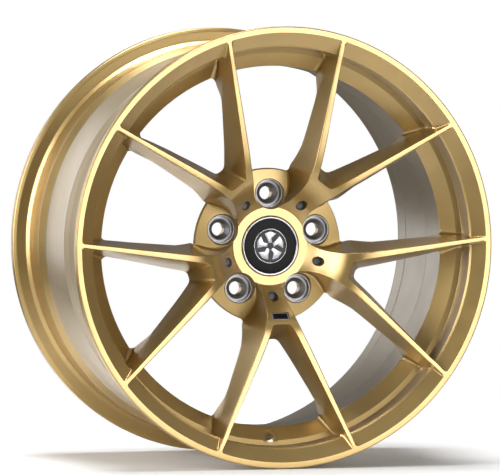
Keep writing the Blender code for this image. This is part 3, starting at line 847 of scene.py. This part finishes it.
def slab(name, width, height, near, far, materials, edge=0.0):
    """A flat block, front towards -Y, with its edges rounded if edge isn't 0."""
    bm = bmesh.new()
    bmesh.ops.create_cube(bm, size=1.0)
    for vert in bm.verts:
        vert.co.x *= width * MM
        vert.co.z *= height * MM
        vert.co.y = (near if vert.co.y < 0 else far) * MM
    if edge:
        bmesh.ops.bevel(bm, geom=bm.edges[:], offset=edge * MM, segments=3, profile=0.5, affect="EDGES")
    return new_object(name, bm, materials, 30.0)


def arm_template(with_badge):
    """One finished arm with its mid-line along +X."""
    template = arm_body()
    plug = cutter_cylinder(PLUG_HOLE_RADIUS, *PLUG_HOLE_DEPTHS)
    place_on_wheel(plug, PLUG_CIRCLE, PLUG_LEAD)
    cutters = [plug]
    for angle in (-ARM_LEAD, -ARM_LEAD - STEP):
        wide, narrow = POCKET_RADIUS + POCKET_CLEARANCE, SEAT_HOLE_RADIUS + SEAT_CLEARANCE
        section = [(0, CUT_FROM_DEPTH), (wide, CUT_FROM_DEPTH), (wide, POCKET_DEPTH), (narrow, 64.9),
                   (narrow, CUT_TO_DEPTH), (0, CUT_TO_DEPTH)]
        pocket = new_object("pocket_cutter", lathe(section, 72, closed=False), [])
        place_on_wheel(pocket, BOLT_CIRCLE, angle)
        cutters.append(pocket)
    if with_badge:
        recess = slab("recess", *BADGE_RECESS, [])
        recess.matrix_world = Matrix.Rotation(math.radians(FIRST_ARM), 4, "Y") @ badge_matrix()
        cutters.append(recess)
    cut_away(template, *cutters)
    cut_away(template, window_cutter(), crossing=True)
    return template


def build_arms(materials):
    plain, badged = arm_template(False), arm_template(True)
    for i in range(5):
        source = badged if i == 0 else plain
        arm = bpy.data.objects.new(f"forged_arm_{i + 1}", source.data.copy())
        bpy.context.scene.collection.objects.link(arm)
        arm.data.materials.clear()
        # Slots: gold, the painted reflection tone, and paint fading from a painted reflection into gold.
        for key in ("gold", "painted_reflection", "wall"):
            arm.data.materials.append(materials[key])
        arm.matrix_world = Matrix.Rotation(-math.radians(FIRST_ARM + STEP * i), 4, "Y")
        settle(arm)
        shade(arm, 28.0)
        even_normals(arm)
        hand_over(arm, "wheel", "forging", f"spoke_arm_{i + 1}")
    for source in (plain, badged):
        bpy.data.objects.remove(source, do_unlink=True)


def cutter_cylinder(radius, near, far):
    section = [(0, near), (radius, near), (radius, far), (0, far)]
    return new_object("cutter", lathe(section, 64, closed=False), [])


# ---------------------------------------------------------------- small pieces

SEAT_SECTION = [
    (15.2, 64.05, 0.4), (16.15, 64.05, 0.3), (16.15, 75.65, 0.3), (7.45, 75.65, 0.3), (7.45, 74.6, 0.3),
    (11.7, 69.3, 0.8), (13.4, 68.65, 1.6), (15.2, 69.1, 0.5),
]
PLUG_SECTION = [
    (0, 51.65, 0), (3.7, 51.5, 1.0), (4.2, 50.6, 0.6), (5.2, 50.25, 0.6), (5.2, 56.5, 0.3), (0, 56.5, 0),
]


def build_seats_and_plugs(materials):
    for i in range(5):
        seat = new_object(f"bolt_seat_{i + 1}", lathe(rounded(SEAT_SECTION), 96), [materials["steel"]])
        place_on_wheel(seat, BOLT_CIRCLE, FIRST_BOLT + STEP * i)
        settle(seat)
        hand_over(seat, "wheel", "bare_steel", f"lug_seat_{i + 1}")
        dished = lathe(rounded(PLUG_SECTION, closed=False), 64, closed=False)
        plug = new_object(f"hole_plug_{i + 1}", dished, [materials["plug"]])
        plug.location = (PLUG_CENTRES[i].x, 0.0, PLUG_CENTRES[i].z)
        settle(plug)
        hand_over(plug, "wheel", "plug", f"arm_hole_plug_{i + 1}")


def build_badge(materials):
    frame_piece = slab("badge_surround", *BADGE_SURROUND, [materials["silver"]], 0.25)
    pocket = slab("badge_pocket", *BADGE_POCKET, [])
    cut_away(frame_piece, pocket)
    frame_piece.matrix_world = badge_matrix()
    settle(frame_piece)
    shade(frame_piece, 30.0)
    hand_over(frame_piece, "wheel", "emblem_silver", "badge_frame")
    plate = slab("badge_field", *BADGE_FIELD, [materials["black"]], 0.12)
    plate.matrix_world = badge_matrix()
    settle(plate)
    hand_over(plate, "wheel", "gloss_black", "badge_plate")


def turned(name, section, material, segments, closed, slot, node):
    piece = new_object(name, lathe(rounded(section, 5, closed), segments, closed), [material])
    hand_over(piece, "centre_cap", slot, node)


CAP_SHELL = [
    (0, 58.65, 0), (33.9, 58.65, 0.4), (33.9, 61.5, 0.5), (30.1, 61.7, 0.3), (30.1, 76.9, 0.5),
    (28.3, 76.9, 0.4), (28.3, 64.2, 1.0), (0, 64.2, 0),
]
CAP_BEZEL = [
    (30.95, 57.1, 0.2), (31.5, 56.0, 0.6), (32.4, 55.75, 0.8), (33.4, 56.1, 0.6), (33.85, 57.1, 0.4),
    (33.85, 58.25, 0.2), (30.95, 58.25, 0.2),
]
CAP_DIAL = [(20.15, 56.5, 0.25), (30.55, 56.85, 0.25), (30.55, 58.25, 0.1), (20.15, 58.25, 0.1)]
CAP_RING = [
    (18.85, 56.3, 0.1), (19.3, 55.98, 0.3), (19.75, 56.3, 0.1), (19.75, 58.25, 0.1), (18.85, 58.25, 0.1),
]
CAP_DISC = [
    (0, 57.0, 0), (17.6, 57.0, 0.3), (17.8, 56.6, 0.2), (18.4, 56.6, 0.2), (18.4, 58.25, 0.1), (0, 58.25, 0),
]
WIRE_CIRCLE, WIRE_DEPTH, WIRE_RADIUS = 27.0, 69.5, 0.88
FINGER_CUTS = 3                 # each parts the skirt on both sides
FINGER_GAP, FINGER_DEPTH = 5.0, 72.0
VANES = 5
VANE_DEPTHS = (56.5, 57.4)
# Radius and degrees from the vane's middle, round its outline.
VANE_OUTLINE = [
    (4.2, 30.0), (9.0, 24.0), (15.8, 27.0), (16.6, 0.0), (15.8, -27.0), (9.0, -8.0), (4.2, -30.0),
]


def build_cap_shell(materials):
    """The cap's body, its skirt parted into sprung fingers."""
    shell = lathe(rounded(CAP_SHELL, closed=False), 128, closed=False)
    body = new_object("cap_shell", shell, [materials["plastic"]])
    cutters = []
    for i in range(FINGER_CUTS):
        cutter = slab("finger_gap", 90.0, FINGER_GAP, -6.0, 6.0, [])
        turn = Matrix.Rotation(math.radians(60.0 * i), 4, "Y")
        cutter.matrix_world = Matrix.Translation((0, at_depth(FINGER_DEPTH), 0)) @ turn
        cutters.append(cutter)
    cut_away(body, *cutters)
    shade(body, 30.0)
    hand_over(body, "centre_cap", "black_plastic", "cap_body")


def build_rosette(materials):
    """Five raised vanes round the middle of the cap's disc."""
    bm = bmesh.new()
    for k in range(VANES):
        middle = math.radians(360.0 / VANES * k + 18.0)
        outline = [(radius, middle + math.radians(spread)) for radius, spread in VANE_OUTLINE]
        tops, feet = [
            [bm.verts.new((r * MM * math.cos(a), at_depth(depth), r * MM * math.sin(a))) for r, a in outline]
            for depth in VANE_DEPTHS]
        bm.faces.new(tops)
        bm.faces.new(feet[::-1])
        for j in range(len(outline)):
            n = (j + 1) % len(outline)
            bm.faces.new((tops[j], feet[j], feet[n], tops[n]))
    bmesh.ops.recalc_face_normals(bm, faces=bm.faces)
    bmesh.ops.bevel(bm, geom=bm.edges[:], offset=0.2 * MM, segments=2, profile=0.5, affect="EDGES")
    hand_over(new_object("cap_rosette", bm, [materials["silver"]], 30.0), "centre_cap", "emblem_silver")


def build_cap(materials):
    build_cap_shell(materials)
    turns = [2 * math.pi * k / 12 for k in range(12)]
    wire = [(WIRE_CIRCLE + WIRE_RADIUS * math.cos(a), WIRE_DEPTH + WIRE_RADIUS * math.sin(a), 0)
            for a in turns]
    turned("cap_wire", wire, materials["wire"], 128, True, "spring_steel", "cap_spring_ring")
    turned("cap_rim", CAP_BEZEL, materials["chrome"], 160, True, "chrome", "cap_bezel")
    turned("cap_face", CAP_DIAL, materials["black"], 160, True, "gloss_black", "cap_dial")
    turned("cap_ring", CAP_RING, materials["chrome"], 160, True, "chrome", "cap_emblem_ring")
    turned("cap_medal", CAP_DISC, materials["graphite"], 160, False, "emblem_silver", "cap_emblem_disc")
    build_rosette(materials)


# ---------------------------------------------------------------- room, light and camera

def plain_material(name, colour, roughness):
    material = bpy.data.materials.new(name)
    material.use_nodes = True
    shader = material.node_tree.nodes["Principled BSDF"]
    shader.inputs["Base Color"].default_value = (*colour, 1.0)
    shader.inputs["Roughness"].default_value = roughness
    return material


def fade_out(material, start, end):
    """Makes a surface fade into the backdrop between two distances from its middle, in metres."""
    nodes, links = material.node_tree.nodes, material.node_tree.links
    shader = nodes["Principled BSDF"]
    place = nodes.new("ShaderNodeTexCoord")
    length = nodes.new("ShaderNodeVectorMath")
    length.operation = "LENGTH"
    links.new(place.outputs["Object"], length.inputs[0])
    links.new(add_range(nodes, links, length.outputs["Value"], 1.0, 0.0, start, end), shader.inputs["Alpha"])


FLOOR_SIZE = 2.0
FLOOR_FADE = (0.36, 0.95)
FLOOR_GAP = 0.0005


def build_floor():
    bm = bmesh.new()
    bmesh.ops.create_grid(bm, x_segments=1, y_segments=1, size=FLOOR_SIZE)
    white = plain_material("studio_white", (0.9, 0.9, 0.9), 0.8)
    fade_out(white, *FLOOR_FADE)
    floor = new_object("studio_floor", bm, [white])
    floor.location.z = -RIM_RADIUS * MM - FLOOR_GAP


def add_area(name, location, target, size, power, colour):
    data = bpy.data.lights.new(name, "AREA")
    data.shape = "RECTANGLE"
    data.size, data.size_y = size
    data.energy = power
    data.color = colour
    light = bpy.data.objects.new(name, data)
    bpy.context.scene.collection.objects.link(light)
    light.location = location
    light.rotation_euler = (Vector(target) - Vector(location)).to_track_quat("-Z", "Y").to_euler()


WARM_WHITE, WHITE = (1.0, 0.985, 0.965), (1.0, 1.0, 1.0)
# Name, place, target, size, power in watts and colour. The first is what the street side mirrors.
SOFTBOXES = [
    ("front_softbox", (1.5, -4.2, 0.5), (0.0, 0.0, 0.0), (2.6, 2.6), 118.0, WARM_WHITE),
    ("top_softbox", (-0.2, 0.1, 2.6), (0.0, 0.0, 0.0), (1.3, 1.1), 80.0, WHITE),
    ("left_softbox", (-3.4, -0.9, 0.8), (0.0, 0.1, 0.0), (1.6, 2.4), 115.0, WHITE),
    ("back_softbox", (-1.8, 3.6, 0.8), (0.0, 0.0, 0.0), (2.2, 2.6), 26.0, WHITE),
]


def build_light():
    """The softboxes, and a world that lights mostly from above but is white to the camera."""
    for softbox in SOFTBOXES:
        add_area(*softbox)
    world = bpy.data.worlds.new("studio")
    bpy.context.scene.world = world
    world.use_nodes = True
    nodes, links = world.node_tree.nodes, world.node_tree.links
    lit = nodes["Background"]
    lit.inputs["Color"].default_value = (0.8, 0.8, 0.8, 1.0)
    place = nodes.new("ShaderNodeTexCoord")
    parts = nodes.new("ShaderNodeSeparateXYZ")
    links.new(place.outputs["Generated"], parts.inputs[0])
    links.new(add_range(nodes, links, parts.outputs["Z"], 0.03, 0.34, -0.25, 0.6), lit.inputs["Strength"])
    seen = nodes.new("ShaderNodeBackground")
    seen.inputs["Color"].default_value = (*WHITE, 1.0)
    seen.inputs["Strength"].default_value = 1.0
    path = nodes.new("ShaderNodeLightPath")
    mix = nodes.new("ShaderNodeMixShader")
    links.new(path.outputs["Is Camera Ray"], mix.inputs["Fac"])
    links.new(lit.outputs["Background"], mix.inputs[1])
    links.new(seen.outputs["Background"], mix.inputs[2])
    links.new(mix.outputs["Shader"], nodes["World Output"].inputs["Surface"])
    bpy.context.scene.view_settings.view_transform = "Standard"


CAMERA_PLACE = (-1.6742, -4.6658, 0.1922)
CAMERA_RIGHT = (0.94129, -0.33733, 0.0134)
CAMERA_AHEAD = (0.3376, 0.94054, -0.03736)
CAMERA_LENS = 310.0


def build_camera():
    data = bpy.data.cameras.new("camera")
    data.lens = CAMERA_LENS
    data.sensor_width = 36.0
    data.clip_end = 50.0
    camera = bpy.data.objects.new("camera", data)
    bpy.context.scene.collection.objects.link(camera)
    right = Vector(CAMERA_RIGHT).normalized()
    ahead = Vector(CAMERA_AHEAD).normalized()
    up = right.cross(ahead).normalized()
    right = ahead.cross(up)
    turn = Matrix((right, up, -ahead)).transposed().to_4x4()
    camera.matrix_world = Matrix.Translation(CAMERA_PLACE) @ turn
    bpy.context.scene.camera = camera


def main():
    materials = make_materials()
    build_rim(materials)
    build_hub(materials)
    build_arms(materials)
    build_seats_and_plugs(materials)
    build_badge(materials)
    build_cap(materials)
    build_floor()
    build_light()
    build_camera()


main()
